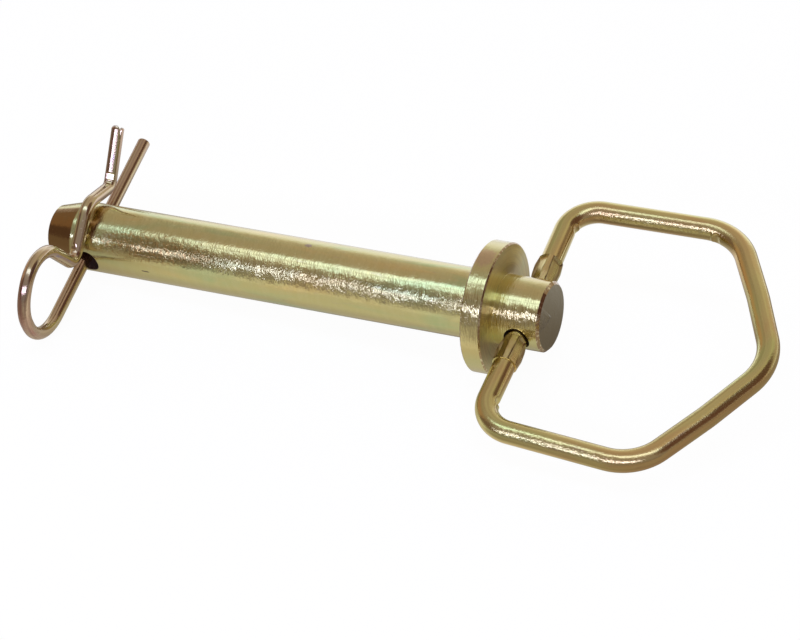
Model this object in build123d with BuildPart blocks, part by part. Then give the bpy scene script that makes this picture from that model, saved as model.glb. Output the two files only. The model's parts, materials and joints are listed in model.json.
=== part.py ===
"""Hitch pin: a one-inch pin with a collar, a swinging wire handle and a spring clip.

The three pieces are drawn about the pin's own axis, +X from the nose to the head with
X = 0 on the collar's seat, and are laid down on the ground together at the end.
"""

import os
from math import atan2, cos, degrees, radians, sin

from build123d import *

os.makedirs("parts", exist_ok=True)

# ---- Pin: one turned bar, sizes in mm ----
shaft_diameter = 25.4
clip_hole_distance = 154.7  # from the collar's seat, the pin's working length
clip_hole_margin = 6.3  # from the clip hole to where the nose starts to taper
nose_length = 11.1
nose_tip_diameter = 19.2
nose_edge_chamfer = 0.5
collar_diameter = 47.4
collar_thickness = 7.5
collar_edge_chamfer = 0.5
collar_root_chamfer = 0.5
boss_diameter = 25.4
boss_length = 17.6
boss_edge_chamfer = 1.0
cross_hole_diameter = 9.6  # one drill makes the handle's hole and the clip's
handle_hole_setback = 9.0  # from the collar's front face

# ---- Handle: one bent wire, a pentagon with its ends in the boss ----
handle_wire_diameter = 8.1
handle_bends = [  # corner across the pin, corner out from the hinge axis, bend radius
    (51.3, -1.3, 12.0),
    (56.1, 59.0, 18.7),
    (2.2, 88.6, 22.4),
    (-53.2, 57.9, 18.7),
    (-51.6, 0.0, 12.0),
]
handle_side_bow = 0.9  # the two sides that meet at the tip belly out by this much
handle_bow_bend = 60.0
handle_end_gap = 1.2  # between the two wire ends inside the boss
handle_swing = -4.75  # degrees from straight in line with the pin

# ---- Crimps: four grooves pressed into each leg raise four ears ----
crimp_clearance = 0.7  # from the boss to the first ear
crimp_length = 11.2
crimp_ear_diameter = 9.9
crimp_end_diameter = 9.0
crimp_groove_width = 4.4
crimp_groove_depth = 0.75  # below the wire's surface
crimp_turn = 33.0  # degrees, the first groove about the hinge axis

# ---- Clip: one spring wire, straight leg through the pin, waved leg over it ----
clip_wire_diameter = 4.76
clip_leg_shift = -1.7  # the leg leans on the nose side of its hole
clip_leg_lift = 0.45  # and is pulled up towards the waved leg
clip_lean = 1.25  # degrees, leg towards the nose
clip_rock = 3.6  # degrees, leg about the pin's axis
clip_cant = 4.7  # degrees, waved leg about the straight one
clip_leg_length = 46.6  # from the hole's centre to the free end
clip_saddle_height = 18.4  # corner of the wave over the shaft
clip_bends = [  # corner along the leg, corner above the leg, bend radius
    (-44.2, 0.2, 17.6),
    (-54.3, 9.1, 16.9),
    (-56.0, 25.4, 14.5),
    (-43.7, 35.5, 12.2),
    (-30.4, 30.7, 17.1),
    (-18.6, 6.4, 4.5),
    (0.3, clip_saddle_height, 7.0),
    (17.0, 8.6, 3.5),
]
clip_waved_end = (33.2, 24.1)
clip_end_chamfer = 0.4

ground_clearance = 0.2  # under the clip's loop

# ---- Worked out from the sizes above ----
shaft_radius = shaft_diameter / 2
collar_radius = collar_diameter / 2
boss_radius = boss_diameter / 2
handle_wire_radius = handle_wire_diameter / 2
clip_wire_radius = clip_wire_diameter / 2
shaft_length = clip_hole_distance + clip_hole_margin
nose_end = -shaft_length - nose_length
boss_end = collar_thickness + boss_length
hinge_x = collar_thickness + handle_hole_setback
clip_hole_x = -clip_hole_distance

# The handle's plane: x along the hinge axis, y out through the middle of the handle.
swing = radians(handle_swing)
handle_plane = Plane(origin=(hinge_x, 0, 0), x_dir=(0, 1, 0), z_dir=(sin(swing), 0, -cos(swing)))

# The clip's plane: x along the straight leg, y over the top of the shaft.
clip_plane = Plane(
    origin=(clip_hole_x + clip_leg_shift, 0, clip_leg_lift), x_dir=(0, 1, 0), z_dir=(1, 0, 0)
).rotated((clip_rock, clip_cant, clip_lean))


# ---- Pin ----
with BuildPart() as pin:
    # Half section of the turned bar, spun about its axis.
    with BuildSketch(Plane.XZ):
        with BuildLine():
            Polyline(
                (nose_end, 0),
                (nose_end, nose_tip_diameter / 2),
                (-shaft_length, shaft_radius),
                (0, shaft_radius),
                (0, collar_radius),
                (collar_thickness, collar_radius),
                (collar_thickness, boss_radius),
                (boss_end, boss_radius),
                (boss_end, 0),
                close=True,
            )
        make_face()
    revolve(axis=Axis.X)

    rims = pin.edges().filter_by(GeomType.CIRCLE)
    nose_rim = rims.sort_by(Axis.X)[0]
    boss_rim = rims.sort_by(Axis.X)[-1]
    collar_rims = rims.filter_by(lambda rim: abs(rim.radius - collar_radius) < 0.01)
    collar_root = rims.filter_by(
        lambda rim: abs(rim.radius - shaft_radius) < 0.01 and abs(rim.center().X) < 0.01
    )
    chamfer(nose_rim, nose_edge_chamfer)
    chamfer(boss_rim, boss_edge_chamfer)
    chamfer(collar_rims, collar_edge_chamfer)
    chamfer(collar_root, collar_root_chamfer)

    # Two parallel cross holes: the handle's hinge in the boss, the clip's near the nose.
    with Locations(Location((hinge_x, 0, 0), (90, 0, 0))):
        Cylinder(cross_hole_diameter / 2, 2 * boss_diameter, mode=Mode.SUBTRACT)
    with Locations(Location((clip_hole_x, 0, 0), (90, 0, 0))):
        Cylinder(cross_hole_diameter / 2, 2 * shaft_diameter, mode=Mode.SUBTRACT)


# ---- Handle ----
def bellied(one, other):
    """Corner that pushes the middle of the side between two bends outwards, with its radius."""
    side = Vector(*one[:2]) - Vector(*other[:2])
    outward = Vector(-side.Y, side.X).normalized()
    middle = (Vector(*one[:2]) + Vector(*other[:2])) / 2 + outward * handle_side_bow
    return (middle.X, middle.Y, handle_bow_bend)


def handle_corners():
    """Corner points and bend radii of the handle's centre line, from one wire end to the other."""
    far_leg, far_shoulder, tip, near_shoulder, near_leg = handle_bends
    return [
        far_leg,
        far_shoulder,
        bellied(far_shoulder, tip),
        tip,
        bellied(tip, near_shoulder),
        near_shoulder,
        near_leg,
    ]


crimp_start = boss_radius + crimp_clearance
crimp_middle = crimp_start + crimp_length / 2
groove_floor = handle_wire_radius - crimp_groove_depth

with BuildPart() as handle:
    bends = handle_corners()
    end = handle_end_gap / 2
    with BuildLine(handle_plane) as handle_line:
        FilletPolyline(
            (end, 0),
            *[(x, y) for x, y, _ in bends],
            (-end, 0),
            radius=[r for _, _, r in bends],
        )
    with BuildSketch(Plane(handle_line.line @ 0, z_dir=handle_line.line % 0)):
        Circle(handle_wire_radius)
    sweep()

    # Each crimp swells from the wire's own size near the boss to its ears further out.
    for side in (1, -1):
        with BuildSketch(handle_plane):
            with BuildLine():
                Polyline(
                    (side * crimp_start, 0),
                    (side * crimp_start, handle_wire_radius),
                    (side * (crimp_start + 0.3 * crimp_length), 0.95 * crimp_ear_diameter / 2),
                    (side * (crimp_start + 0.65 * crimp_length), crimp_ear_diameter / 2),
                    (side * (crimp_start + crimp_length), crimp_end_diameter / 2),
                    (side * (crimp_start + crimp_length), 0),
                    close=True,
                )
            make_face()
        revolve(axis=Axis((hinge_x, 0, 0), (0, 1, 0)))

        # The grooves between the ears end in square steps.
        for quarter in range(4):
            turn = radians(crimp_turn + 90 * quarter)
            outward = Vector(cos(turn), 0, sin(turn))
            groove_plane = Plane(
                Vector(hinge_x, side * crimp_middle, 0) + outward * groove_floor,
                x_dir=(0, 1, 0),
                z_dir=outward,
            )
            with BuildSketch(groove_plane):
                Rectangle(crimp_length, crimp_groove_width)
            extrude(amount=crimp_ear_diameter / 2, mode=Mode.SUBTRACT)


# ---- Clip ----
with BuildPart() as hairpin_clip:
    with BuildLine(clip_plane) as clip_line:
        FilletPolyline(
            (clip_leg_length, 0),
            *[(x, y) for x, y, _ in clip_bends],
            clip_waved_end,
            radius=[r for _, _, r in clip_bends],
        )
    with BuildSketch(Plane(clip_line.line @ 0, z_dir=clip_line.line % 0)):
        Circle(clip_wire_radius)
    sweep()
    clip_ends = hairpin_clip.faces().filter_by(GeomType.PLANE)
    leg_end = clip_ends.sort_by_distance(clip_line.line @ 0)[0]
    chamfer(leg_end.edges(), clip_end_chamfer)


# ---- Laid on the ground ----
# The pin rests on the collar's rim and on the edge where its nose starts, so it lies
# nose down, and it rolls over until the clip's loop is next to the ground.
rest_tilt = atan2(collar_radius - shaft_radius, shaft_length + collar_edge_chamfer)
axis_height = cos(rest_tilt) * shaft_radius + sin(rest_tilt) * shaft_length


def clip_height(roll):
    """Lowest point of the clip above the ground with the pin rolled by this many radians."""
    stations = [clip_line.line @ (step / 200) for step in range(201)]
    centre_heights = [
        cos(rest_tilt) * (point.Z * cos(roll) + point.Y * sin(roll)) + sin(rest_tilt) * point.X
        for point in stations
    ]
    return min(centre_heights) + axis_height - clip_wire_radius


clear_roll, low_roll = 0.0, radians(40)
for _ in range(40):
    middle_roll = (clear_roll + low_roll) / 2
    if clip_height(middle_roll) > ground_clearance:
        clear_roll = middle_roll
    else:
        low_roll = middle_roll
rest_roll = clear_roll

laid_down = Rotation(0, -degrees(rest_tilt), 0) * Rotation(degrees(rest_roll), 0, 0)
pieces = {"pin": pin, "handle": handle, "hairpin_clip": hairpin_clip}
box = Compound([piece.part.moved(laid_down) for piece in pieces.values()]).bounding_box()
rest = Location((-box.center().X, -box.center().Y, axis_height)) * laid_down

for name, piece in pieces.items():
    piece.part = piece.part.moved(rest)
    piece.part.label = name

export_step(pin.part, "parts/pin.step")
export_step(handle.part, "parts/handle.step")
export_step(hairpin_clip.part, "parts/hairpin_clip.step")

print(f"tilt {degrees(rest_tilt):.2f}, roll {degrees(rest_roll):.2f} degrees, axis height {axis_height:.2f} mm")
print(f"size {box.size.X:.1f} x {box.size.Y:.1f} x {box.size.Z:.1f} mm")
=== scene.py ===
# %% [markdown]
# # A hitch pin in yellow zinc plate
# The object is three pieces of steel: a turned pin with a collar, a bent-wire handle that
# swings in the pin's head, and a spring clip that stops the pin from sliding out of its hole.
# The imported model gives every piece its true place. This file gives them their look: the
# two wires are swept again with their crimps, bites and cut ends, and each surface gets a
# plated finish that is put together from small shader groups.

# %% Load the frame
import json
import math

import bpy
import numpy as np
from mathutils import Matrix, Vector


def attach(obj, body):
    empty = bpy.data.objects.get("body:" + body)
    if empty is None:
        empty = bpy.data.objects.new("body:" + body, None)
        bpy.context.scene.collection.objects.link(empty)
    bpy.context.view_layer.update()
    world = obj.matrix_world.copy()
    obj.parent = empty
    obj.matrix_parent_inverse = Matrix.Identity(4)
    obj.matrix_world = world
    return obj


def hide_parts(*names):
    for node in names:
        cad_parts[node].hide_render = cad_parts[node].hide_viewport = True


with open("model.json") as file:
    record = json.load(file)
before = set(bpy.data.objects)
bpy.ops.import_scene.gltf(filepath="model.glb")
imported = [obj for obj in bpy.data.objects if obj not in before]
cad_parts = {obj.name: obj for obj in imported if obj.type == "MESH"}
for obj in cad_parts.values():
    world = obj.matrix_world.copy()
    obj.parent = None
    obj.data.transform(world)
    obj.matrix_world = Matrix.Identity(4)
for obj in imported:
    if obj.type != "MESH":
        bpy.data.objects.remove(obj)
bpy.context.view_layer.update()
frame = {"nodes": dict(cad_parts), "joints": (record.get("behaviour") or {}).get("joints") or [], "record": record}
MM = 0.001
print("pieces in the frame:", sorted(frame["nodes"]))

# %% [markdown]
# ## The pin's own axes
# The pin lies on the ground, tilted and rolled, but it was made on a lathe, about its own
# axis. Turning marks, rings and holes are simple in that lathe frame: x along the pin with
# zero on the collar's seat, z up over the top, y across. The record holds all it takes: the
# handle's hinge gives one point and the y axis, and the shank mount gives the x axis.

# %% Lathe frame
joints = {joint["name"]: joint for joint in frame["joints"]}
mounts = {mount["name"]: mount for mount in frame["record"]["mounts"]}

hinge_x = 16.5  # mm, from the collar's seat to the handle's hinge
along = -Vector(mounts["shank"]["axis"]).normalized()
across = Vector(joints["handle_swing"]["axis"]).normalized()
over = along.cross(across)
seat_centre = Vector(joints["handle_swing"]["pos_m"]) - along * hinge_x * MM
lathe_axes = np.array([along, across, over])


def from_lathe(points):
    """Points (n, 3) in mm in the lathe frame, moved to the row frame.

    The seat's centre plus each coordinate times its axis.
    """
    return np.array(seat_centre) + points @ lathe_axes * MM


print("the pin's axis points along", tuple(round(value, 4) for value in along))

# %% [markdown]
# ## Wires as swept grids
# Both wires are a circle carried along a bent line. A wire bender's table gives the line:
# a list of corners in one plane, and a radius for each. A curve object with a bevel would be
# quicker, but a grid of stations by columns can also change its section from station to
# station, which the crimps, bites and cut ends need. All sizes here are in mm.

# %% Bent line
def bent_line(corners, radii, step=0.1):
    """Straight runs joined by tangent arcs: points, unit tangents, distances, and each arc's two ends.

    An arc starts and ends radius times tan(turn / 2) from its corner, and its centre lies a
    radius from the line on the inside of the turn.
    """
    corners = np.array(corners, float)
    points, tangents, arcs = [], [], []
    start, travelled = corners[0], 0.0
    for before, corner, after, radius in zip(corners, corners[1:], corners[2:], radii):
        enter = (corner - before) / np.linalg.norm(corner - before)
        leave = (after - corner) / np.linalg.norm(after - corner)
        turn = math.atan2(enter[0] * leave[1] - enter[1] * leave[0], enter @ leave)
        setback = radius * math.tan(abs(turn) / 2)
        arc_start = corner - enter * setback
        run = np.linalg.norm(arc_start - start)
        share = np.linspace(0, 1, int(run / step) + 2)[:-1, None]
        points.append(start + (arc_start - start) * share)
        tangents.append(np.repeat(enter[None], len(share), 0))
        inward = math.copysign(1, turn) * np.array([-enter[1], enter[0]])
        angle = np.linspace(0, abs(turn), int(abs(turn) * radius / step) + 2)[:-1, None]
        points.append(arc_start + inward * radius * (1 - np.cos(angle)) + enter * radius * np.sin(angle))
        tangents.append(enter * np.cos(angle) + inward * np.sin(angle))
        arcs.append((travelled + run, travelled + run + abs(turn) * radius))
        start, travelled = corner + leave * setback, arcs[-1][1]
    points.append(np.array([start, corners[-1]]))
    tangents.append(np.repeat(leave[None], 2, 0))
    points, tangents = np.vstack(points), np.vstack(tangents)
    distance = np.r_[0, np.cumsum(np.linalg.norm(np.diff(points, axis=0), axis=1))]
    return points, tangents, distance, arcs


example = bent_line([(0, 0), (20, 0), (20, 20)], [10])
print(f"a square corner with 20 mm legs and a 10 mm bend takes {example[2][-1]:.1f} mm of wire")

# %% [markdown]
# Each station is a distance along the line and a share of the wire's radius. Along the wire
# the share is one. At an end the distance stands still while the share falls from one to
# almost nothing, and those rings close the end as a flat disc, ready for a chamfer or a
# sheared face. Stations are close together only where the section changes.

# %% Stations
end_disc = np.array([0.02, 0.3, 0.55, 0.72, 0.86])  # shares of the radius, from the pole to the rim
beside_step = np.array([-0.06, -0.02, 0.02, 0.06])


def stations_along(length, step, end_chamfer, steps_at=(), close_rows=()):
    """Stations (distance, share of radius) of a wire, from the pole in one end to that in the other.

    Even rows keep end_chamfer away from both ends, so that a chamfer runs from the first to
    the end disc's rim. Every square step in the section gets two rows close to it on each
    side, and close_rows are added where a dent needs them.
    """
    even = np.linspace(end_chamfer, length - end_chamfer, int(length / step))
    rows = np.unique(np.round(np.r_[even, np.add.outer(steps_at, beside_step).ravel()], 4))
    rows = np.sort(np.r_[rows, close_rows])
    first = np.c_[np.zeros(len(end_disc)), end_disc]
    body = np.c_[rows, np.ones(len(rows))]
    last = np.c_[np.full(len(end_disc), length), end_disc[::-1]]
    return np.vstack([first, body, last])


print("100 mm of wire with a row every 5 mm:", len(stations_along(100, 5, 0.3)), "stations")

# %% [markdown]
# Dents, ears and worn sides all start and end softly. One hump function gives them their
# shape, both along the wire and around it, and a profile of straight lines gives the rest.

# %% Humps and profiles
def bump_at(value, middle, half_width):
    """Smooth hump: one at the middle, cos squared down to zero at half_width on both sides."""
    share = np.clip((value - middle) / half_width, -1, 1)
    return np.cos(share * np.pi / 2) ** 2


def around(angle, middle):
    """Signed difference between an angle and a middle angle, in radians between -pi and pi."""
    return (angle - middle + np.pi) % (2 * np.pi) - np.pi


def bump_around(angle, middle, half_width):
    """The same hump around a wire, with all three in radians."""
    return bump_at(around(angle, middle), 0, half_width)


def along_profile(value, profile):
    """Straight lines between the profile's points (place, height), and its end heights beyond them."""
    places, heights = zip(*profile)
    return np.interp(value, places, heights)


print("a hump halfway down its side:", round(float(bump_at(0.5, 0, 1)), 3))

# %% [markdown]
# The grid becomes a mesh with one quad between each four neighbours. The last column joins
# the first, so there is no seam, and a small fan closes the pole in each end.

# %% Tube faces
def tube_faces(rows, width):
    """Quads between neighbours, closed around each ring, and a fan on a pole at both ends.

    The point in row r and column c has the number r times width plus c, and the two poles
    come last.
    """
    grid = np.arange(rows * width).reshape(rows, width)
    after = np.roll(grid, -1, axis=1)
    quads = np.stack([grid[:-1], after[:-1], after[1:], grid[1:]], -1).reshape(-1, 4)
    first_fan = np.stack([after[0], grid[0], np.full(width, grid.size)], -1)
    last_fan = np.stack([grid[-1], after[-1], np.full(width, grid.size + 1)], -1)
    return [*quads.tolist(), *first_fan.tolist(), *last_fan.tolist()]


def with_poles(grid):
    """A grid (rows, width, 3) as one list of points, with the middles of its first and last ring added."""
    return np.vstack([grid.reshape(-1, 3), grid[0].mean(0), grid[-1].mean(0)])


print("a tube of 3 rings of 8 has", len(tube_faces(3, 8)), "faces")

# %% [markdown]
# A vector attribute keeps every vertex's place on the wire as if it were still straight:
# distance along it, and the two coordinates of its section. Drawing marks then follow the
# bends. A second attribute tells the finish three shares: where painted shade darkens the
# crimps' walls and the clip's groove, where dies pressed the wire smooth, and where it is
# worn or hammered.

# %% Swept wire
def keep_on_points(mesh, name, values):
    """Stores one vector per vertex in the mesh, as an attribute of that name."""
    attribute = mesh.attributes.new(name, "FLOAT_VECTOR", "POINT")
    attribute.data.foreach_set("vector", values.astype(np.float32).ravel())


def swept_wire(name, line, plane, stations, columns, radius, marks, shear=None):
    """Surface centre(s) + radius(s, angle) * (cos(angle) * out + sin(angle) * left), closed at both ends.

    plane is the origin, x axis and y axis of the line's plane in the lathe frame. Angle 0
    points out of that plane, and a quarter turn points left of the line's direction. marks
    gives each point's three shares for the finish. shear gives a shift along the wire for
    each point of the grid.
    """
    points, tangents, distance, _ = line
    origin, *in_plane = plane
    out = np.cross(*in_plane)
    s, share = stations[:, :1], stations[:, 1:]
    place = np.stack([np.interp(s[:, 0], distance, points[:, k]) for k in (0, 1)], -1)
    heading = np.stack([np.interp(s[:, 0], distance, tangents[:, k]) for k in (0, 1)], -1)
    heading /= np.linalg.norm(heading, axis=1, keepdims=True)
    centre = origin + place @ in_plane
    forward = heading @ in_plane
    left = np.c_[-heading[:, 1], heading[:, 0]] @ in_plane

    size = share * radius(s, columns[None, :])
    u, v = size * np.cos(columns), size * np.sin(columns)
    w = np.zeros_like(u) if shear is None else shear(s, u, v)
    rings = (
        centre[:, None, :]
        + u[..., None] * out
        + v[..., None] * left[:, None, :]
        + w[..., None] * forward[:, None, :]
    )
    straightened = np.stack([s + w, u, v], -1)
    shares = np.stack([np.broadcast_to(part, u.shape) for part in marks(s, columns[None, :])], -1)

    mesh = bpy.data.meshes.new(name)
    mesh.from_pydata(from_lathe(with_poles(rings)).tolist(), [], tube_faces(*u.shape))
    keep_on_points(mesh, "drawn_wire", with_poles(straightened))
    keep_on_points(mesh, "wire_marks_and_shade", np.vstack([shares.reshape(-1, 3), np.zeros((2, 3))]))
    mesh.shade_smooth()
    mesh.set_sharp_from_angle(angle=math.radians(40))
    piece = bpy.data.objects.new(name, mesh)
    bpy.context.scene.collection.objects.link(piece)
    print(f"{name}: {len(s)} stations of {len(columns)} columns, {len(mesh.polygons)} faces")
    return piece


# %% [markdown]
# ## The handle
# A length of 8 mm wire is bent into a five-sided loop and its two ends are sprung into the
# cross hole in the boss. The two sides that meet at its tip belly out a little where the
# bender pushed them. Just outside the boss a press pinches each leg from four sides, and the
# metal that the four dies push away rises into four ears that keep the handle centred.

# %% Handle line
handle_radius = 4.04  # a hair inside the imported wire
handle_corners = [
    (0.6, 0.0),
    (51.3, -1.3),
    (56.1, 59.0),
    (29.58, 74.59),
    (2.2, 88.6),
    (-25.94, 74.04),
    (-53.2, 57.9),
    (-51.6, 0.0),
    (-0.6, 0.0),
]
handle_bend_radii = [12.0, 18.7, 60.0, 22.4, 60.0, 18.7, 12.0]
handle_swing = math.radians(-4.75)
handle_plane = (
    np.array([hinge_x, 0, 0]),
    np.array([0, 1, 0]),
    np.array([math.cos(handle_swing), 0, math.sin(handle_swing)]),
)
handle_line = bent_line(handle_corners, handle_bend_radii)
handle_length = handle_line[2][-1]
far_leg_bend, far_shoulder, *_, near_shoulder, near_leg_bend = handle_line[3]
print(f"handle wire {handle_length:.1f} mm long")

# %% [markdown]
# A crimp's section is the smaller of two shapes: the barrel, which swells from the wire's
# own size near the boss to the full ear, and the four flats that the dies leave. Between
# the flats the barrel shows as four narrow ears. Both ends of a flat ramp up steeply. The
# columns start on a flat's middle, so that all four flats are cut alike.

# %% Crimps
crimp_from_end = 12.8
crimp_length = 11.2
crimp_edges = np.array([crimp_from_end, crimp_from_end + crimp_length])
flat_depth = 3.3  # from the wire's axis
wall_height = 1.6
crimp_barrel = [(0, handle_radius), (0.3, 4.7), (0.65, 4.94), (1, 4.5)]
crimp_flat = [(0, 4.2), (0.07, flat_depth), (0.91, flat_depth), (1, 4.3)]
flat_opening = [(0, math.radians(25)), (1, math.radians(31))]  # half the angle a flat takes up
first_flat = math.radians(37.75)
column_count = 96
column_turn = 2 * math.pi / column_count
handle_columns = first_flat + np.arange(column_count) * column_turn


def crimp_place(distance, angle):
    """Share of the crimp's length, angle from the nearest flat's middle, and the flat's half opening.

    Four times the angle comes round again at every quarter turn, so one rule serves all flats.
    """
    share = (distance - crimp_from_end) / crimp_length
    from_flat = np.abs(around(4 * angle, 4 * first_flat)) / 4
    return share, from_flat, along_profile(share, flat_opening)


def crimp_radius(distance, angle):
    """The smaller of the barrel's radius and the flats', which is depth / cos(angle from the flat's middle).

    Past its half opening a flat has a steep wall, one column wide.
    """
    share, from_flat, opening = crimp_place(distance, angle)
    flat = along_profile(share, crimp_flat) / np.cos(np.minimum(from_flat, opening))
    wall = wall_height * np.clip((from_flat - opening) / column_turn, 0, 1)
    section = np.minimum(along_profile(share, crimp_barrel), flat + wall)
    return np.where((share > 0) & (share < 1), section, handle_radius)


def from_nearest_end(distance):
    """Distance from the nearer end of the handle's wire, because both legs are crimped alike."""
    return np.minimum(distance, handle_length - distance)


print("each crimp is", crimp_length, "mm long and its flats lie", flat_depth, "mm from the axis")

# %% [markdown]
# The bender's die bites the inside of a bend where the straight run meets it. It leaves a
# short dent with a small lip of pushed-up metal, on both leg bends and on one shoulder.

# %% Handle surface
inside = math.pi / 2  # around the wire, on the inside of the handle's bends
die_bites = [  # distance along the wire, half width, depth, and the side that its lip is on
    (far_leg_bend[0] + 1.5, 2.1, 0.80, 1),
    (near_leg_bend[1] - 1.5, 2.1, 0.85, -1),
    (far_shoulder[0] + 6.0, 1.8, 0.65, -1),
]
bite_spread = 0.85  # radians around the wire, to each side
lip_gap, lip_half_width, lip_height = 0.5, 0.8, 0.34


def handle_surface(distance, angle):
    """Crimped radius, less the square root of a hump for each die bite, plus a hump for its lip."""
    size = crimp_radius(from_nearest_end(distance), angle)
    spread = bump_around(angle, inside, bite_spread)
    for middle, half_width, depth, lip_side in die_bites:
        lip_middle = middle + lip_side * (half_width + lip_gap)
        size = size - spread * depth * bump_at(distance, middle, half_width) ** 0.5
        size = size + spread * lip_height * bump_at(distance, lip_middle, lip_half_width)
    return size


print("die bites at", [round(float(bite[0]), 1) for bite in die_bites], "mm along the wire")

# %% [markdown]
# The finish needs to know more than the shape. Painted shade lies as dark lines along the
# walls of the crimps' flats. The crimps and the straight legs are smooth. The two sides
# between a leg's bend and a shoulder knock against other things, and are worn to a sparkle on
# one face each.

# %% Handle piece
leg_smoothness = [(40, 0.8), (46, 0)]  # distance from the wire's end, share
worn_sides = [  # where the side starts and ends along the wire, and the angle of its worn face
    (far_leg_bend[1], far_shoulder[0], math.radians(120)),
    (near_shoulder[1], near_leg_bend[0], math.radians(218)),
]
worn_fade, worn_half_width = 8, 0.95
# where the painted shade line sits beside each flat's wall, and its half width
shade_line_middle, shade_line_half_width = math.radians(1.9), math.radians(4.5)


def handle_marks(distance, angle):
    """Painted shade as dark lines on the crimps' walls, smooth metal on crimps and legs, and the two sides' worn
    faces.
    """
    near_end = from_nearest_end(distance)
    share, from_flat, opening = crimp_place(near_end, angle)
    pressed = ((share > 0) & (share < 1)) * 1.0
    # painted shade along the foot of each flat's wall
    wall = bump_at(from_flat, opening + shade_line_middle, shade_line_half_width) ** 0.5
    smooth = np.maximum(pressed, along_profile(near_end, leg_smoothness))
    worn = 0
    for first, last, face in worn_sides:
        run = along_profile(distance, [(first - worn_fade, 0), (first, 1), (last, 1), (last + worn_fade, 0)])
        worn = worn + run * bump_around(angle, face, worn_half_width)
    return pressed * wall, smooth, worn


handle_stations = stations_along(
    handle_length,
    step=0.62,
    end_chamfer=0.3,
    steps_at=np.r_[crimp_edges, handle_length - crimp_edges],
    close_rows=np.ravel([bite[0] + np.linspace(-3, 3, 25) for bite in die_bites]),
)
bent_handle = swept_wire(
    "bent_handle", handle_line, handle_plane, handle_stations, handle_columns, handle_surface, handle_marks
)
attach(bent_handle, "handle")
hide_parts("handle")

# %% [markdown]
# ## The spring clip
# Thinner, harder wire makes the clip: a straight leg goes through the hole, a loop brings
# the wire back over, and a waved leg grips the top of the pin. The wave's tight corners
# carry the bender's marks: a pinched flat on the outside of the dip, a facet just past the
# dip, and a flat in two steps at the heel, the last bend. The waved end is sheared, which
# leaves a groove and a fork.

# %% Clip line
clip_radius = 2.37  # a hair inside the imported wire
clip_hole_x = -154.7
clip_corners = [
    (46.6, 0.0),
    (-44.2, 0.2),
    (-54.3, 9.1),
    (-56.0, 25.4),
    (-43.7, 35.5),
    (-30.4, 30.7),
    (-18.6, 6.4),
    (0.3, 18.4),
    (17.0, 8.6),
    (33.2, 24.1),
]
clip_bend_radii = [17.6, 16.9, 14.5, 12.2, 17.1, 4.5, 7.0, 3.5]
turn_x, turn_y, turn_z = (
    np.array(Matrix.Rotation(math.radians(degrees), 3, axis))
    for degrees, axis in ((3.6, "X"), (4.7, "Y"), (1.25, "Z"))
)
clip_turn = turn_x @ turn_y @ turn_z
clip_plane = (np.array([clip_hole_x - 1.7, 0, 0.45]), clip_turn[:, 1], clip_turn[:, 2])
clip_line = bent_line(clip_corners, clip_bend_radii)
clip_length = clip_line[2][-1]
_, low_loop_bend, high_loop_bend, _, _, dip, _, heel = clip_line[3]
print(f"clip wire {clip_length:.1f} mm long")

# %% [markdown]
# The clip's flats are cut from the round wire in three ways. The pinch and the facet are
# humps taken off the radius. The heel's flat is a true plane: its distance from the wire's
# axis divided by the cosine of the angle from its middle. The groove deepens towards the
# sheared end and stays narrow.

# %% Clip surface
clip_columns = np.linspace(0, 2 * np.pi, 64, endpoint=False)
outside = -math.pi / 2  # around the wire, on the outside of the dip
facet_angle = math.pi / 2 + 0.3
groove_angle = 0.75
heel_angle = math.radians(87)
pinch_middle, pinch_half_width, pinch_depth = np.mean(dip), 3.2, 0.34
facet_middle, facet_half_width, facet_depth = dip[1] + 0.6, 1.5, 0.42
groove_spread, groove_depth = 0.28, 0.50
heel_flat = [  # distance past the heel's bend, and the flat's distance from the wire's axis
    (-3.6, 2.5),
    (-3.0, 2.05),
    (0.0, 2.05),
    (0.12, 2.3),
    (0.4, 1.68),
    (2.5, 1.68),
    (3.3, 2.5),
]


def end_groove(distance, angle):
    """Share of the groove's depth: a straight rise towards the sheared end times a narrow hump."""
    rise = along_profile(distance - clip_length, [(-4.2, 0), (-1.2, 1)])
    return rise * bump_around(angle, groove_angle, groove_spread)


def clip_surface(distance, angle):
    """Wire radius less the pinch, the facet and the end's groove, and nowhere more than the heel's flat."""
    pinch = bump_at(distance, pinch_middle, pinch_half_width) ** 0.6 * bump_around(angle, outside, 0.8)
    facet = bump_at(distance, facet_middle, facet_half_width) ** 0.5 * bump_around(angle, facet_angle, 0.9)
    cuts = pinch_depth * pinch + facet_depth * facet + groove_depth * end_groove(distance, angle)
    from_flat = np.clip(around(angle, heel_angle), -1.2, 1.2)
    return np.minimum(clip_radius - cuts, along_profile(distance - heel[1], heel_flat) / np.cos(from_flat))


def clip_marks(distance, angle):
    """Painted shade as a dark line in the groove, smooth metal on pinch, facet and heel, and the loop's hammered
    side.
    """
    pinch = bump_at(distance, pinch_middle, pinch_half_width) * bump_around(angle, outside, 0.8)
    facet = bump_at(distance, facet_middle, facet_half_width + 0.2) * bump_around(angle, facet_angle, 1)
    flat = bump_at(distance, heel[1] + 0.8, 3.6) ** 0.5 * bump_around(angle, heel_angle, 1.3)
    loop_middle = (low_loop_bend[1] + high_loop_bend[0]) / 2
    hammered = bump_at(distance, loop_middle, 17)
    return end_groove(distance, angle), np.clip(pinch + facet + flat, 0, 1), hammered


print("the heel's bend ends", round(float(clip_length - heel[1]), 1), "mm from the sheared end")

# %% [markdown]
# Shears push the metal over before it breaks. So the waved end isn't square: a rounded
# crown stands up on one side of its middle, and a narrow valley on the other side splits it
# into a fork.

# %% Clip piece
fork_direction = -0.52  # around the wire, across the valley
valley_middle, valley_width, valley_depth = 0.7, 0.4, 0.9
crown_middle, crown_width, crown_height = -0.7, 1.6, 0.55


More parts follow.
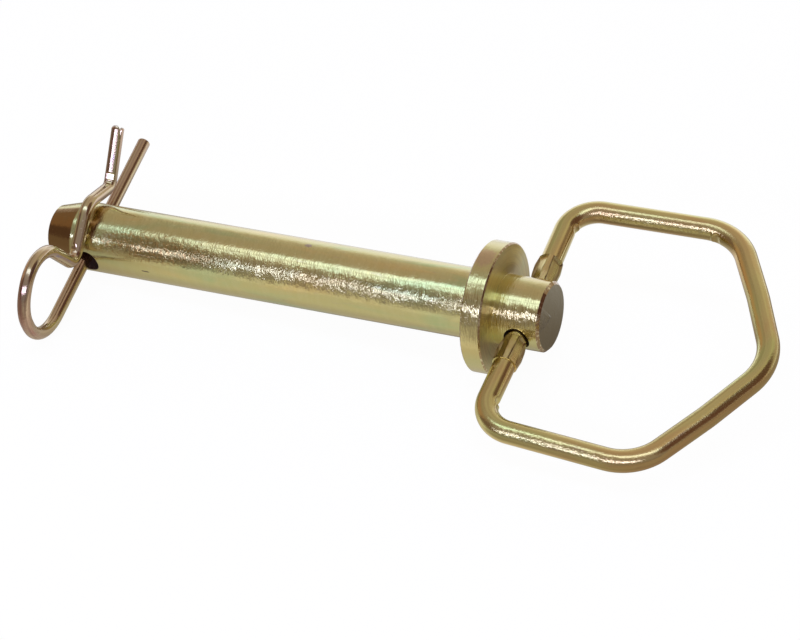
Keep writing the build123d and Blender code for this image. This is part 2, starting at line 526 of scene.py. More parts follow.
def clip_shear(distance, across_plane, in_plane):
    """Shift along the wire in its last millimetre: a parabola's crown less a bell curve's valley."""
    near = along_profile(distance - clip_length, [(-1, 0), (0, 1)])
    sideways = across_plane * math.cos(fork_direction) + in_plane * math.sin(fork_direction)
    valley = valley_depth * np.exp(-((sideways - valley_middle) / valley_width) ** 2)
    crown = crown_height * np.clip(1 - ((sideways - crown_middle) / crown_width) ** 2, 0, 1)
    return near * (crown - valley)


clip_stations = stations_along(
    clip_length, step=0.42, end_chamfer=0.35, close_rows=heel[1] + np.arange(-4.5, 4.5, 0.1)
)
spring_clip = swept_wire(
    "spring_clip", clip_line, clip_plane, clip_stations, clip_columns, clip_surface, clip_marks, clip_shear
)
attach(spring_clip, "clip")
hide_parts("hairpin_clip")

# %% [markdown]
# ## Shader helpers
# A finish is a tree of many small nodes. Short helpers keep the trees readable. One adds a
# node: a link is made when a value is a socket, and a setting otherwise. The others add a
# sum, a product, a smooth step from zero to one, a noise, or a mix of colours.

# %% Node helpers
def link_or_set(tree, socket, value):
    """Links the value to the socket if it is a socket itself, and otherwise makes it the socket's value."""
    if isinstance(value, bpy.types.NodeSocket):
        tree.links.new(value, socket)
    else:
        socket.default_value = value


def add_node(tree, kind, inputs=None, **settings):
    """Adds a node, makes its settings, and links or sets each of its inputs."""
    made = tree.nodes.new(kind)
    for name, value in settings.items():
        setattr(made, name, value)
    for name, value in (inputs or {}).items():
        link_or_set(tree, made.inputs[name], value)
    return made


def maths(tree, operation, *values):
    """Result of one Math node; values are sockets or numbers."""
    return add_node(tree, "ShaderNodeMath", dict(enumerate(values)), operation=operation).outputs[0]


def total(tree, result, *others):
    """All the values added up."""
    for value in others:
        result = maths(tree, "ADD", result, value)
    return result


def product(tree, result, *others):
    """All the values multiplied by each other."""
    for value in others:
        result = maths(tree, "MULTIPLY", result, value)
    return result


def hypotenuse(tree, one, other):
    """Square root of the sum of two squares."""
    return maths(tree, "SQRT", total(tree, product(tree, one, one), product(tree, other, other)))


def smooth_step(tree, value, zero_at, one_at):
    """Zero up to zero_at, one from one_at on, smooth between; it falls if zero_at is the larger."""
    inputs = {"Value": value, "From Min": zero_at, "From Max": one_at}
    return add_node(tree, "ShaderNodeMapRange", inputs, interpolation_type="SMOOTHSTEP").outputs["Result"]


# %% [markdown]
# Nearly every mark on metal is noise of some scale, stretched or not. It makes a mask, and
# the mask says where a tint is laid over the colour so far, as with paint and a stencil.

# %% Noise and colour helpers
def stretched(tree, position, scale):
    """Position times a scale for each axis, so that a pattern on it is long where the scale is small."""
    return add_node(tree, "ShaderNodeMapping", {"Vector": position, "Scale": scale}).outputs["Vector"]


def noise(tree, position, scale, detail, roughness=0.5, distortion=0.0):
    """Cloudy value from zero to one, with about scale clouds per unit and detail finer layers over them."""
    inputs = {"Vector": position, "Scale": scale, "Detail": detail, "Roughness": roughness}
    return add_node(tree, "ShaderNodeTexNoise", {**inputs, "Distortion": distortion}).outputs["Fac"]


def mixed(tree, amount, one, other):
    """Colour that goes from one to other as amount goes from zero to one.

    A Mix node has sockets for every data type: 6 and 7 are its two colours, and 2 its result.
    """
    made = add_node(tree, "ShaderNodeMix", data_type="RGBA")
    for slot, value in ((0, amount), (6, one), (7, other)):
        link_or_set(tree, made.inputs[slot], value)
    return made.outputs[2]


def layered(tree, colour, layers):
    """Colour with each layer's tint laid over it in turn, as far as its mask times its strength says."""
    for mask, strength, tint in layers:
        colour = mixed(tree, product(tree, mask, strength), colour, (*tint, 1))
    return colour


# %% [markdown]
# An effect that more than one finish needs is a shader group: built once, with named inputs
# and outputs, and placed in each material with its own values.

# %% Group helpers
def new_group(name, inputs, outputs):
    """Empty shader group with float, vector or colour sockets: returns its tree and its inputs."""
    tree = bpy.data.node_groups.new(name, "ShaderNodeTree")
    kinds = {"f": "NodeSocketFloat", "v": "NodeSocketVector", "c": "NodeSocketColor"}
    for direction, sockets in (("INPUT", inputs), ("OUTPUT", outputs)):
        for label, kind in sockets.items():
            tree.interface.new_socket(name=label, in_out=direction, socket_type=kinds[kind])
    return tree, tree.nodes.new("NodeGroupInput").outputs


def put_out(tree, **results):
    """Links each result to the group's output of that name."""
    add_node(tree, "NodeGroupOutput", results)
    print("group", tree.name, "puts out", *results)


def place_group(tree, group, **inputs):
    """A group placed in a tree; the keywords are its inputs' names with _ for a space."""
    values = {name.replace("_", " "): value for name, value in inputs.items()}
    return add_node(tree, "ShaderNodeGroup", values, node_tree=group).outputs


# %% [markdown]
# ## Group: tool grain
# A lathe leaves fine rings and a drawing die leaves fine streaks. Both are noise that is
# stretched hard in one direction: short across the marks and long along them. The group
# takes a position that is already stretched, and adds a coarse and a fine layer. Height
# feeds a bump, and streak is a mask that lets colour and roughness follow the same marks.

# %% Tool grain
tool_grain, given = new_group(
    "tool_grain", {"Stretched": "v", "Coarse Share": "f"}, {"Height": "f", "Streak": "f"}
)
fine = noise(tool_grain, given["Stretched"], scale=1.0, detail=3.0)
coarse = noise(tool_grain, given["Stretched"], scale=0.23, detail=2.0)
put_out(
    tool_grain,
    Height=total(tool_grain, fine, product(tool_grain, coarse, given["Coarse Share"])),
    Streak=smooth_step(tool_grain, coarse, 0.42, 0.62),
)

# %% [markdown]
# ## Group: handling marks
# Plated parts are tumbled together, and they knock and scratch each other. The group makes
# tiny round pits from the distance to scattered cell centres, and short scratches from a
# noise that is stretched along a slanted direction and kept only at its peaks. Density
# says how much of the surface is marked, so a worn zone can raise it.

# %% Handling marks
handling_marks, given = new_group(
    "handling_marks",
    {"Position": "v", "Pit Size": "f", "Density": "f"},
    {"Height": "f", "Bright": "f"},
)
cells_per_mm = maths(handling_marks, "DIVIDE", 0.4, given["Pit Size"])
cells = add_node(
    handling_marks, "ShaderNodeTexVoronoi", {"Vector": given["Position"], "Scale": cells_per_mm}
).outputs
random_share = add_node(handling_marks, "ShaderNodeSeparateColor", {"Color": cells["Color"]}).outputs[0]
chosen = maths(handling_marks, "LESS_THAN", random_share, given["Density"])
pit = product(handling_marks, smooth_step(handling_marks, cells["Distance"], 0.42, 0.1), chosen)
slanted = add_node(
    handling_marks,
    "ShaderNodeMapping",
    {"Vector": given["Position"], "Rotation": (0.5, 0.9, 0.35), "Scale": (0.35, 2.6, 2.6)},
).outputs["Vector"]
peaks = noise(handling_marks, slanted, scale=1.0, detail=2.0, roughness=0.6)
least_peak = total(handling_marks, 0.72, product(handling_marks, given["Density"], -0.2))
above = maths(handling_marks, "SUBTRACT", peaks, least_peak)
scratch = smooth_step(handling_marks, above, 0.0, 0.04)
put_out(
    handling_marks,
    Height=product(handling_marks, total(handling_marks, pit, scratch), -1.0),
    Bright=maths(handling_marks, "MAXIMUM", pit, scratch),
)

# %% [markdown]
# ## Group: chromate film
# The yellow on zinc is a clear film, a fraction of a micrometre thick, and its colour
# changes with its thickness. Slow noise stands for the thickness. It shifts the gold
# towards olive where the film is thin and towards rose where it is thick, and a second,
# rarer noise leaves small purple or blue blooms where liquid dried last.

# %% Chromate film
chromate_film, given = new_group(
    "chromate_film",
    {"Position": "v", "Gold": "c", "Thin": "c", "Thick": "c", "Bloom": "c", "Bloom Amount": "f"},
    {"Color": "c"},
)
thickness = noise(chromate_film, given["Position"], scale=0.07, detail=3.0, distortion=0.6)
rare = noise(chromate_film, given["Position"], scale=0.22, detail=4.0, roughness=0.6)
tint = mixed(chromate_film, smooth_step(chromate_film, thickness, 0.5, 0.3), given["Gold"], given["Thin"])
tint = mixed(chromate_film, smooth_step(chromate_film, thickness, 0.5, 0.7), tint, given["Thick"])
bloom = product(chromate_film, smooth_step(chromate_film, rare, 0.6, 0.74), given["Bloom Amount"])
put_out(chromate_film, Color=mixed(chromate_film, bloom, tint, given["Bloom"]))

# %% [markdown]
# ## Group: soft patch
# Single marks, such as a stain or the worn zone that the clip rubs, sit at one known place.
# The group measures the distance from a centre in an ellipsoid's own units, frays it with
# noise, and gives one inside and zero outside.

# %% Soft patch
soft_patch, given = new_group(
    "soft_patch", {"Position": "v", "Centre": "v", "Half Size": "v", "Fray": "f"}, {"Mask": "f"}
)
offset = add_node(
    soft_patch, "ShaderNodeVectorMath", {0: given["Position"], 1: given["Centre"]}, operation="SUBTRACT"
).outputs[0]
in_sizes = add_node(
    soft_patch, "ShaderNodeVectorMath", {0: offset, 1: given["Half Size"]}, operation="DIVIDE"
).outputs[0]
far = add_node(soft_patch, "ShaderNodeVectorMath", {0: in_sizes}, operation="LENGTH").outputs["Value"]
clouds = noise(soft_patch, given["Position"], scale=0.9, detail=4.0)
frayed = product(soft_patch, maths(soft_patch, "SUBTRACT", clouds, 0.5), given["Fray"])
put_out(soft_patch, Mask=smooth_step(soft_patch, total(soft_patch, far, frayed), 1.0, 0.6))

# %% [markdown]
# ## The turned pin's finish
# The pin is bright-turned bar with zinc and yellow chromate on it. Position comes from
# Object coordinates, and a Mapping node turns them into lathe coordinates in millimetres.
# Distance along the outline is x plus the radius: it grows along the shaft, up a face and
# down a cone, so one grain gives rings everywhere, as the lathe tool does.

# %% Lathe coordinates in a material
def new_material(name):
    """Material with an empty Principled shader; returns the material and its tree."""
    material = bpy.data.materials.new(name)
    material.use_nodes = True
    return material, material.node_tree


def plated_metal(tree, colour, roughness, relief):
    """Makes the tree's Principled shader metal of that colour and roughness, with relief in mm as a bump."""
    bump = add_node(tree, "ShaderNodeBump", {"Strength": 1.0, "Distance": MM, "Height": relief})
    shader = tree.nodes["Principled BSDF"]
    tree.links.new(colour, shader.inputs["Base Color"])
    tree.links.new(roughness, shader.inputs["Roughness"])
    tree.links.new(bump.outputs["Normal"], shader.inputs["Normal"])
    shader.inputs["Metallic"].default_value = 1.0


pin_finish, tree = new_material("turned_pin_plate")
to_lathe = Matrix([list(axis) for axis in lathe_axes])
position = add_node(
    tree,
    "ShaderNodeMapping",
    {
        "Vector": tree.nodes.new("ShaderNodeTexCoord").outputs["Object"],
        "Location": -(to_lathe @ seat_centre) / MM,
        "Rotation": to_lathe.to_euler(),
        "Scale": (1 / MM, 1 / MM, 1 / MM),
    },
).outputs["Vector"]
x_mm, y_mm, z_mm = add_node(tree, "ShaderNodeSeparateXYZ", {"Vector": position}).outputs
r_mm = hypotenuse(tree, y_mm, z_mm)
outline_mm = total(tree, x_mm, r_mm)
print("lathe coordinates from the seat's centre at", tuple(round(value, 4) for value in seat_centre))

# %% [markdown]
# The pin has places of its own: the head, the nose, the collar's front face, the chamfered
# edges, the end face and the two holes' walls. Each is a mask with a soft edge, worked out
# from the distance along the axis and the distance from it.

# %% Places on the pin
shaft_radius = 12.7  # and the boss's
nose_start = -161.0
collar_front = 7.5
collar_radius = 23.7
collar_chamfer = 0.5
boss_front = 25.1
boss_chamfer = 1.0
hole_radius = 4.8

on_head = smooth_step(tree, x_mm, -0.3, 0.2)
on_nose = smooth_step(tree, x_mm, nose_start + 0.4, nose_start - 0.4)
collar_edge_x, collar_edge_r = collar_front - collar_chamfer, collar_radius - collar_chamfer
front_face = product(
    tree,
    smooth_step(tree, x_mm, collar_edge_x - 0.1, collar_edge_x - 0.02),
    smooth_step(tree, r_mm, shaft_radius + 0.05, shaft_radius + 0.2),
)
rim = smooth_step(tree, r_mm, collar_edge_r - 0.05, collar_edge_r + 0.02)
front_edge = product(tree, smooth_step(tree, x_mm, collar_edge_x - 0.02, collar_edge_x + 0.04), rim)
back_edge = product(tree, smooth_step(tree, x_mm, collar_chamfer, collar_chamfer - 0.06), rim)

boss_edge_x, boss_edge_r = boss_front - boss_chamfer, shaft_radius - boss_chamfer
boss_edge = product(
    tree,
    smooth_step(tree, x_mm, boss_edge_x - 0.08, boss_edge_x + 0.02),
    smooth_step(tree, r_mm, boss_edge_r - 0.1, boss_edge_r + 0.02),
)
end_face = product(
    tree,
    smooth_step(tree, x_mm, boss_front - 0.1, boss_front - 0.04),
    smooth_step(tree, r_mm, boss_edge_r + 0.05, boss_edge_r - 0.05),
)
edges = maths(tree, "MAXIMUM", maths(tree, "MAXIMUM", front_edge, back_edge), boss_edge)

hole_walls = 0.0
for hole_x in (clip_hole_x, hinge_x):
    from_axis = hypotenuse(tree, maths(tree, "SUBTRACT", x_mm, hole_x), z_mm)
    wall = smooth_step(tree, from_axis, hole_radius + 0.2, hole_radius + 0.06)
    hole_walls = maths(tree, "MAXIMUM", hole_walls, wall)
hole_walls = product(tree, hole_walls, smooth_step(tree, r_mm, shaft_radius - 0.04, shaft_radius - 0.2))
print("places worked out with", len(tree.nodes), "nodes")

# %% [markdown]
# Turning rings are the tool grain on a position that is scaled up along the outline and down
# around the axis. On the head, and most of all on the collar's face, a smaller scale around
# the axis lets the rings run further before they break up.

# %% Rings
around_share = total(tree, 0.7, product(tree, on_head, -0.45), product(tree, front_face, -0.19))
ring_position = add_node(
    tree,
    "ShaderNodeCombineXYZ",
    {
        "X": product(tree, outline_mm, 2.0),
        "Y": product(tree, y_mm, around_share),
        "Z": product(tree, z_mm, around_share),
    },
).outputs["Vector"]
rings = place_group(tree, tool_grain, Stretched=ring_position, Coarse_Share=0.6)
print("rings: two noise units per mm of outline")

# %% [markdown]
# Single marks come from handling and use: flecks and dull metal where the clip rubs, a dark
# dash, a purple stain, a rose bloom on the collar and a green-blue spot on the boss. The
# side of the shaft that lies towards the front is worn, and there its rings are deeper.

# %% Marks on the pin
def at_angle(x, degrees, radius=shaft_radius):
    """Point on the turned surface at that x, angle about the axis and radius, in mm in the lathe frame."""
    turn = math.radians(degrees)
    return (x, radius * math.cos(turn), radius * math.sin(turn))


single_marks = {  # centre, half size and fray
    "rubbed": (at_angle(-126, 132), (28, 6.5, 6.0), 0.9),
    "dulled": (at_angle(-122, 131), (28, 6.0, 5.0), 0.8),
    "dash": (at_angle(-129.9, 176), (2.2, 2.0, 0.42), 0.7),
    "stain": (at_angle(-67.9, 75), (1.6, 1.2, 1.0), 0.8),
    "rose": (at_angle(3.0, 84, collar_radius), (4.5, 5.5, 3.0), 0.6),
    "verdigris": (at_angle(24.6, 77), (0.7, 1.2, 1.2), 0.8),
}
mark = {}
for name, (centre, half_size, fray) in single_marks.items():
    patch = place_group(tree, soft_patch, Position=position, Centre=centre, Half_Size=half_size, Fray=fray)
    mark[name] = patch["Mask"]

worn_angle = math.radians(139.5)
worn_edge, worn_core = math.radians(27), math.radians(10)  # to each side of the worn angle
towards_worn = total(
    tree, product(tree, y_mm, math.cos(worn_angle)), product(tree, z_mm, math.sin(worn_angle))
)
closeness = maths(tree, "DIVIDE", towards_worn, r_mm)
worn_side = product(
    tree,
    smooth_step(tree, closeness, math.cos(worn_edge), math.cos(worn_core)),
    smooth_step(tree, x_mm, -134, -98),
)
nicks = noise(tree, position, scale=0.8, detail=5.0, roughness=0.7)
print("single marks:", *mark)

# %% [markdown]
# The colour starts with the film and gets its places and marks laid over it in turn. On the
# edges the plating is thin and brown, and it is chipped to bright metal where nicks are.

# %% Pin colour
film = place_group(
    tree,
    chromate_film,
    Position=stretched(tree, position, (0.35, 1.6, 1.6)),
    Gold=(0.70, 0.63, 0.30, 1),
    Thin=(0.58, 0.63, 0.32, 1),
    Thick=(0.78, 0.62, 0.28, 1),
    Bloom=(0.55, 0.42, 0.42, 1),
    Bloom_Amount=0.25,
)["Color"]
brown_nose = product(tree, on_nose, smooth_step(tree, y_mm, 3.2, 1.6))
flecks = product(tree, mark["rubbed"], smooth_step(tree, nicks, 0.49, 0.57))
face_rings = product(tree, smooth_step(tree, rings["Height"], 0.86, 0.70), front_face)
pin_layers = [  # mask, strength and tint
    (rings["Streak"], 0.12, (0.82, 0.74, 0.46)),
    (on_head, 0.5, (0.66, 0.56, 0.26)),
    (brown_nose, 0.92, (0.30, 0.165, 0.06)),
    (mark["dulled"], 0.8, (0.38, 0.31, 0.13)),
    (flecks, 0.75, (0.60, 0.42, 0.17)),
    (end_face, 0.9, (0.36, 0.34, 0.22)),
    (face_rings, 0.35, (0.40, 0.33, 0.16)),
    (mark["rose"], 0.55, (0.62, 0.40, 0.30)),
    (mark["stain"], 0.55, (0.40, 0.28, 0.42)),
    (mark["dash"], 0.8, (0.16, 0.11, 0.10)),
    (mark["verdigris"], 0.7, (0.20, 0.42, 0.42)),
]
colour = layered(tree, film, pin_layers)
chipped = smooth_step(tree, nicks, 0.50, 0.58)
edge_colour = mixed(tree, chipped, (0.44, 0.29, 0.17, 1), (0.90, 0.80, 0.55, 1))
colour = mixed(tree, product(tree, edges, 0.85), colour, edge_colour)
colour = mixed(tree, hole_walls, colour, (0.46, 0.34, 0.29, 1))
print(len(pin_layers), "layers over the film, then the edges and the holes")

# %% [markdown]
# The relief is in millimetres: rings that are deepest where the shaft is worn, a fine peel
# all over from the plating, pits and scratches, and shallow dents in the rubbed zone.

# %% Pin roughness and relief
pit_density = total(tree, 0.06, product(tree, mark["rubbed"], 0.5))
pits = place_group(tree, handling_marks, Position=position, Pit_Size=0.30, Density=pit_density)["Height"]
peel = noise(tree, position, scale=1.6, detail=4.0, roughness=0.62)
dents = noise(tree, position, scale=0.55, detail=2.0)
clumps = noise(tree, position, scale=0.16, detail=2.0)
uneven = total(tree, 0.7, product(tree, smooth_step(tree, clumps, 0.35, 0.65), 0.6))
ring_depth = total(
    tree, 0.05, product(tree, worn_side, 0.28), product(tree, on_head, 0.03), product(tree, front_face, -0.04)
)
pin_roughness = total(
    tree,
    0.12,
    product(tree, rings["Streak"], 0.05),
    product(tree, hole_walls, 0.4),
    product(tree, front_face, 0.16),
)
pin_relief = total(
    tree,
    product(tree, rings["Height"], uneven, ring_depth),
    product(tree, peel, 0.012),
    product(tree, pits, 0.012),
    product(tree, dents, mark["rubbed"], 0.10),
)
plated_metal(tree, colour, pin_roughness, pin_relief)
for slot in frame["nodes"]["pin"].material_slots:
    slot.material = pin_finish
print("pin finish has", len(tree.nodes), "nodes")

# %% [markdown]
# ## The wires' finishes
# Drawn wire has streaks along it, not rings around it. The drawn_wire attribute holds each
# point's place on the straightened wire, so noise that is short across and long along the
# wire stays true round every bend. The second attribute says where painted shade, die marks
# and worn or hammered metal are. The same function makes both wires' finishes, with the
# handle's warm gold and the clip's darker, pinker bronze over hard spring wire.

# %% Wire finish
def wire_finish(
    name,
    radius,
    film_colours,
    streak_colour,
    streak_strength,
    pit_density,
    peel_depth,
    base_roughness,
    pressed_roughness,
    blow_scale,
    blow_depth,
):
    """Metal coloured by the chromate film and drawing streaks, with streaks, peel, pits and blows as relief.

    pressed_roughness is what pressed places add to it. blow_scale and blow_depth are how
    close and how deep the dents are where the wire is worn or hammered. Depths are in mm.
    """
    material, tree = new_material(name)
    per_mm = 9.0 / radius
    drawn = add_node(tree, "ShaderNodeAttribute", attribute_name="drawn_wire").outputs["Vector"]
    wire_marks_and_shade = add_node(tree, "ShaderNodeAttribute", attribute_name="wire_marks_and_shade").outputs["Vector"]
    painted_crease_shade, pressed, beaten = add_node(tree, "ShaderNodeSeparateXYZ", {"Vector": wire_marks_and_shade}).outputs
    not_pressed = total(tree, 1.0, product(tree, pressed, -0.85))

    streak_position = stretched(tree, drawn, (0.035, per_mm, per_mm))
    grain = place_group(tree, tool_grain, Stretched=streak_position, Coarse_Share=1.6)
    film_position = stretched(tree, drawn, (0.4, per_mm, per_mm))
    film = place_group(tree, chromate_film, Position=film_position, **film_colours)["Color"]
    marks = place_group(tree, handling_marks, Position=drawn, Pit_Size=0.22, Density=pit_density)
    layers = [
        (grain["Streak"], streak_strength, streak_colour),
        # painted shade: dark lines on the crimps' walls and in the clip's groove
        (painted_crease_shade, 0.85, (0.20, 0.12, 0.07)),
        (marks["Bright"], 0.2, (0.9, 0.8, 0.6)),
    ]
    satin = smooth_step(tree, pressed, 0.85, 0.95)
    roughness = total(
        tree, base_roughness, product(tree, grain["Streak"], 0.1), product(tree, satin, pressed_roughness)
    )
    peel = noise(tree, drawn, scale=1.9, detail=4.0, roughness=0.6)
    blows = noise(tree, drawn, scale=blow_scale, detail=3.0)
    relief = total(
        tree,
        product(tree, grain["Height"], 0.006),
        product(tree, peel, peel_depth, not_pressed),
        product(tree, blows, beaten, blow_depth),
        product(tree, marks["Height"], 0.006, not_pressed),
    )
    plated_metal(tree, layered(tree, film, layers), roughness, relief)
    print(name, "has", len(tree.nodes), "nodes")
    return material


# %% [markdown]
# The handle's film is even and gold, with light peel and a worn sparkle. The clip's hard
# wire takes a darker, blotchier film with blue blooms, over streaks that are nearly black.

# %% Handle and clip finishes
handle_finish = wire_finish(
    "bent_handle_plate",
    handle_radius,
    film_colours=dict(
        Gold=(0.73, 0.64, 0.28, 1),
        Thin=(0.66, 0.67, 0.28, 1),
        Thick=(0.73, 0.53, 0.24, 1),
        Bloom=(0.50, 0.30, 0.24, 1),
        Bloom_Amount=0.4,
    ),
    streak_colour=(0.50, 0.34, 0.15),
    streak_strength=0.35,
    pit_density=0.12,
    peel_depth=0.05,
    base_roughness=0.11,
    pressed_roughness=0.14,
    blow_scale=1.0,
    blow_depth=0.19,
)
clip_finish = wire_finish(
    "spring_clip_plate",
    clip_radius,
    film_colours=dict(
        Gold=(0.65, 0.50, 0.33, 1),
        Thin=(0.70, 0.63, 0.32, 1),
        Thick=(0.52, 0.31, 0.23, 1),
        Bloom=(0.24, 0.24, 0.46, 1),
        Bloom_Amount=0.7,
    ),
    streak_colour=(0.22, 0.10, 0.09),
    streak_strength=0.36,
    pit_density=0.06,
    peel_depth=0.03,
    base_roughness=0.08,
    pressed_roughness=0.0,
    blow_scale=0.8,
    blow_depth=0.35,
)
bent_handle.data.materials.append(handle_finish)
spring_clip.data.materials.append(clip_finish)

# %% [markdown]
# ## Floor
# A plain pale floor carries the object: one large square face at height zero, where the
# object rests. It belongs to the studio and not to the object.

# %% Floor
floor_reach = 6.0  # metres from the middle to each side
floor_mesh = bpy.data.meshes.new("studio_floor")
floor_corners = [
    (-floor_reach, -floor_reach, 0),
    (floor_reach, -floor_reach, 0),
    (floor_reach, floor_reach, 0),
    (-floor_reach, floor_reach, 0),
]
floor_mesh.from_pydata(floor_corners, [], [(0, 1, 2, 3)])
studio_floor = bpy.data.objects.new("studio_floor", floor_mesh)
bpy.context.scene.collection.objects.link(studio_floor)
print("floor", 2 * floor_reach, "m across")

# %% [markdown]
# The camera sees the floor nearly pure white, as a studio sweep looks, and the rest of its
# colour is an ordinary matt white, which keeps the soft shadow under the pin. Polished metal
# shows the floor in every lower face, and there pure white would look flat. So the metal is
# given a painted reflection of another floor: stripes along the pin, white behind it, a
# painted shadow dark below it and grey in front, a painted pale card lying in the grey, and
# patches of painted shade towards both ends.

# %% Painted reflection of the floor
floor_finish, tree = new_material("studio_floor_white")
tree.nodes.clear()
floor_place = tree.nodes.new("ShaderNodeTexCoord").outputs["Object"]
floor_x, floor_y, _ = add_node(tree, "ShaderNodeSeparateXYZ", {"Vector": floor_place}).outputs


def floor_patch(x_range, y_range):
    """Mask of a patch: a smooth step in x times one in y, each from where it starts to where it is full."""
    return product(tree, smooth_step(tree, floor_x, *x_range), smooth_step(tree, floor_y, *y_range))


# painted reflection: stripes of the floor as the metal sees them
painted_stripes = [  # metres across the floor where a stripe starts and where it is full, and its grey
    ((-0.022, -0.008), (0.52, 0.49, 0.45)),
    # painted shadow under the pin, in the reflection
    ((-0.006, 0.006), (0.20, 0.16, 0.13)),
    ((0.02, 0.10), (1.05, 1.07, 1.2)),
    ((-0.075, -0.085), (0.46, 0.43, 0.37)),
    ((-0.13, -0.24), (0.34, 0.33, 0.31)),
    ((-0.6, -0.9), (0.60, 0.57, 0.50)),
]
# painted reflection of a pale card lying on the floor
painted_card = product(
    tree, smooth_step(tree, floor_y, -0.042, -0.050), smooth_step(tree, floor_y, -0.082, -0.070)
)
# painted shade in the reflected floor: beyond the nose, in front of the handle and beyond the handle
painted_shade_past_nose = maths(
    tree, "MAXIMUM", floor_patch((-0.16, -0.25), (0.30, 0.18)), floor_patch((-0.08, -0.17), (0.15, 0.10))
)
painted_shade_before_handle = floor_patch((0.01, 0.03), (-0.045, -0.07))
painted_shade_past_handle = floor_patch((0.05, 0.12), (0.30, 0.14))
painted_patches = [  # mask, strength and grey
    (painted_card, 1.0, (0.84, 0.82, 0.76)),
    (painted_shade_past_nose, 1.0, (0.32, 0.27, 0.22)),
    (painted_shade_before_handle, 1.0, (0.36, 0.32, 0.27)),
    (painted_shade_past_handle, 1.0, (0.34, 0.27, 0.22)),
    (painted_shade_past_handle, smooth_step(tree, floor_x, 0.3, 0.6), (0.20, 0.15, 0.12)),
]
painted_stripe_layers = [(smooth_step(tree, floor_y, *y_range), 1.0, grey) for y_range, grey in painted_stripes]
painted_floor_reflection = layered(tree, (0.66, 0.64, 0.56, 1), painted_stripe_layers + painted_patches)
print("reflected floor:", len(painted_stripes), "stripes and", len(painted_patches), "painted_patches")

# %% [markdown]
# Light Path tells which kind of ray meets the floor. Nine tenths of what the camera sees is
# white and nine tenths of what the metal sees is the painted reflection, which glows. The last
# tenth, and all other light, comes from the matt white with its shadow.

# %% Floor finish
ray = tree.nodes.new("ShaderNodeLightPath").outputs
matt = add_node(tree, "ShaderNodeBsdfDiffuse", {"Color": (0.8, 0.8, 0.79, 1)}).outputs[0]
# the painted reflection glows for the metal's rays
painted_reflection_glow = add_node(tree, "ShaderNodeEmission", {"Color": painted_floor_reflection, "Strength": 1.0}).outputs[0]
white = add_node(tree, "ShaderNodeEmission", {"Color": (1, 1, 1, 1), "Strength": 1.06}).outputs[0]
to_metal = product(tree, ray["Is Glossy Ray"], 0.9)
to_camera = product(tree, ray["Is Camera Ray"], 0.9)
seen = add_node(tree, "ShaderNodeMixShader", {0: to_metal, 1: matt, 2: painted_reflection_glow}).outputs[0]
seen = add_node(tree, "ShaderNodeMixShader", {0: to_camera, 1: seen, 2: white}).outputs[0]
add_node(tree, "ShaderNodeOutputMaterial", {"Surface": seen})
floor_mesh.materials.append(floor_finish)
print("floor finish has", len(tree.nodes), "nodes")

# %% [markdown]
# ## Surroundings
# Metal is a mirror for the studio, so the studio is drawn in the world shader. Going over
# the pin from the back to the front, it has a white backdrop, a dim warm ceiling, a narrow
# cool soft box overhead, and a dark gap down to the front. All of it runs parallel to the
# pin, so a colour ramp over the angle about the pin's axis describes it.

# %% Room over the pin
world = bpy.data.worlds.new("studio_room")
bpy.context.scene.world = world
world.use_nodes = True
tree = world.node_tree
tree.nodes.clear()
direction = tree.nodes.new("ShaderNodeTexCoord").outputs["Generated"]


def part_along(vector):
    """Share of the ray's direction along a unit vector: their dot product."""
    return add_node(
        tree, "ShaderNodeVectorMath", {0: direction, 1: vector}, operation="DOT_PRODUCT"
    ).outputs["Value"]


room_ramp = [  # degrees about the pin's axis from the back over the top, and the light seen there
    (-10, (1.12, 1.15, 1.34)),
    (5, (0.98, 0.99, 1.08)),
    (20, (0.66, 0.59, 0.53)),
    (42, (0.50, 0.43, 0.38)),
    (68, (0.47, 0.41, 0.37)),
    (81, (0.48, 0.44, 0.42)),
    (85, (1.6, 1.95, 2.5)),
    (94, (1.6, 1.95, 2.5)),
    (100, (0.48, 0.46, 0.46)),
    (114, (0.36, 0.33, 0.34)),
    (165, (0.28, 0.27, 0.28)),
]
turn = maths(tree, "DEGREES", maths(tree, "ARCTAN2", part_along(over), part_along(across)))
ramp_start, ramp_end = room_ramp[0][0], room_ramp[-1][0]
along_ramp = add_node(
    tree, "ShaderNodeMapRange", {"Value": turn, "From Min": ramp_start, "From Max": ramp_end}
).outputs["Result"]
ramp = add_node(tree, "ShaderNodeValToRGB", {"Fac": along_ramp})
stops = ramp.color_ramp.elements
for index, (degrees, light) in enumerate(room_ramp):
    place = (degrees - ramp_start) / (ramp_end - ramp_start)
    stop = stops[index] if index < 2 else stops.new(place)
    stop.position, stop.color = place, (*light, 1)
print("room ramp with", len(stops), "stops")

# %% [markdown]
# Past the pin's two ends the room is duller: a warm grey end and a brown wall beyond the
# nose, with a dark corner in front of it, and a paler warm grey beyond the handle. One dark
# opening there is round, a third of the way up. The camera itself sees plain white.

# %% Ends of the room
def towards(azimuth, elevation):
    """Unit vector at that azimuth and elevation, in degrees: (cos e cos a, cos e sin a, sin e)."""
    a, e = math.radians(azimuth), math.radians(elevation)
    return Vector((math.cos(e) * math.cos(a), math.cos(e) * math.sin(a), math.sin(e)))


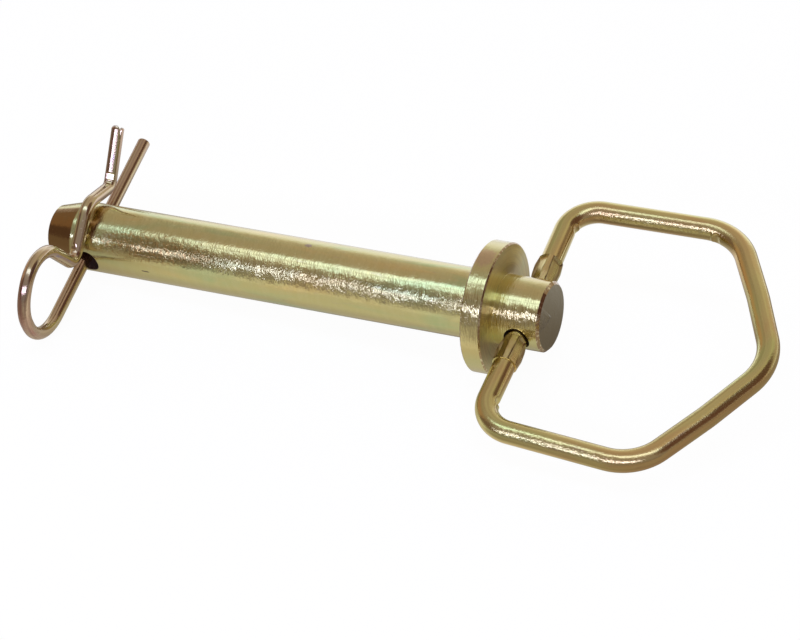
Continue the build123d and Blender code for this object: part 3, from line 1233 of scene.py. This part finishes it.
room_ends = [  # share of the direction along the pin and turn about it, from start to full, and light
    ((-0.36, -0.52), (8, 22), (0.38, 0.33, 0.28)),
    ((-0.72, -0.88), (8, 22), (0.47, 0.32, 0.22)),
    ((0.12, 0.38), (84, 78), (0.56, 0.49, 0.40)),
    ((-0.45, -0.62), (100, 108), (0.20, 0.14, 0.12)),
]
lengthwise = part_along(along)
ends = [
    (smooth_step(tree, lengthwise, *length_range), smooth_step(tree, turn, *turn_range), light)
    for length_range, turn_range, light in room_ends
]
opening_edge, opening_core = math.radians(33), math.radians(23)  # from its middle
opening = smooth_step(tree, part_along(towards(8, 34)), math.cos(opening_edge), math.cos(opening_core))
room = layered(tree, ramp.outputs["Color"], [*ends, (opening, 1.0, (0.14, 0.08, 0.065))])

ray = tree.nodes.new("ShaderNodeLightPath").outputs
lit = add_node(tree, "ShaderNodeBackground", {"Color": room, "Strength": 1.0}).outputs[0]
white = add_node(tree, "ShaderNodeBackground", {"Color": (1, 1, 1, 1), "Strength": 1.0}).outputs[0]
seen = add_node(tree, "ShaderNodeMixShader", {0: ray["Is Camera Ray"], 1: lit, 2: white}).outputs[0]
add_node(tree, "ShaderNodeOutputWorld", {"Surface": seen})
print("world", world.name, "has", len(tree.nodes), "nodes")

# %% [markdown]
# ## Lamp
# One narrow strip lamp in front, low and parallel to the pin, is far brighter than the
# room. It is what makes worn and turned metal glitter: every tiny slope that faces the
# right way shows it as a spark. An area lamp's power is its radiance times pi times its
# area, so the strip can be made longer without changing how bright it looks.

# %% Front strip
strip_turn = math.radians(141)  # about the pin's axis, from the back over the top
strip_distance = 1.5
strip_start, strip_end = -0.9, 1.1  # metres along the pin from the middle
strip_width = 0.2
strip_radiance = 4.2

lamp = bpy.data.lights.new("front_strip", "AREA")
lamp.shape = "RECTANGLE"
lamp.size, lamp.size_y = strip_end - strip_start, strip_width
lamp.energy = strip_radiance * math.pi * lamp.size * lamp.size_y
lamp.color = (0.86, 0.93, 1.6)
pin_middle = Vector((0, 0, 25 * MM))
back = across * math.cos(strip_turn) + over * math.sin(strip_turn)
centre = pin_middle + back * strip_distance + along * (strip_start + strip_end) / 2
facing = Matrix((along, back.cross(along), back)).transposed().to_4x4()
front_strip = bpy.data.objects.new("front_strip", lamp)
front_strip.matrix_world = Matrix.Translation(centre) @ facing
bpy.context.scene.collection.objects.link(front_strip)
print(f"front strip: {math.degrees(2 * math.atan(strip_width / 2 / strip_distance)):.1f} degrees wide")

# %% [markdown]
# ## Camera
# A long lens from the front right, about 38 degrees above the floor, looks down at the
# object. The camera is placed by its direction and distance from the aim point, and is
# rolled by a few degrees.

# %% Camera
camera_azimuth, camera_elevation = -64.83, 37.95
camera_distance = 1.14173
camera_roll = math.radians(-2.69)
aim = Vector((2.96, -6.16, 14.24)) * MM

camera_data = bpy.data.cameras.new("long_lens")
camera_data.lens = 144.25
camera_data.sensor_width = 36.0
camera = bpy.data.objects.new("long_lens", camera_data)
back = towards(camera_azimuth, camera_elevation)
level = towards(camera_azimuth + 90, 0)
side = level * math.cos(camera_roll) + back.cross(level) * math.sin(camera_roll)
facing = Matrix((side, back.cross(side), back)).transposed().to_4x4()
camera.matrix_world = Matrix.Translation(aim + back * camera_distance) @ facing
bpy.context.scene.collection.objects.link(camera)
bpy.context.scene.camera = camera
bpy.context.scene.view_settings.view_transform = "Standard"
print("camera at", tuple(round(value, 3) for value in camera.matrix_world.translation))
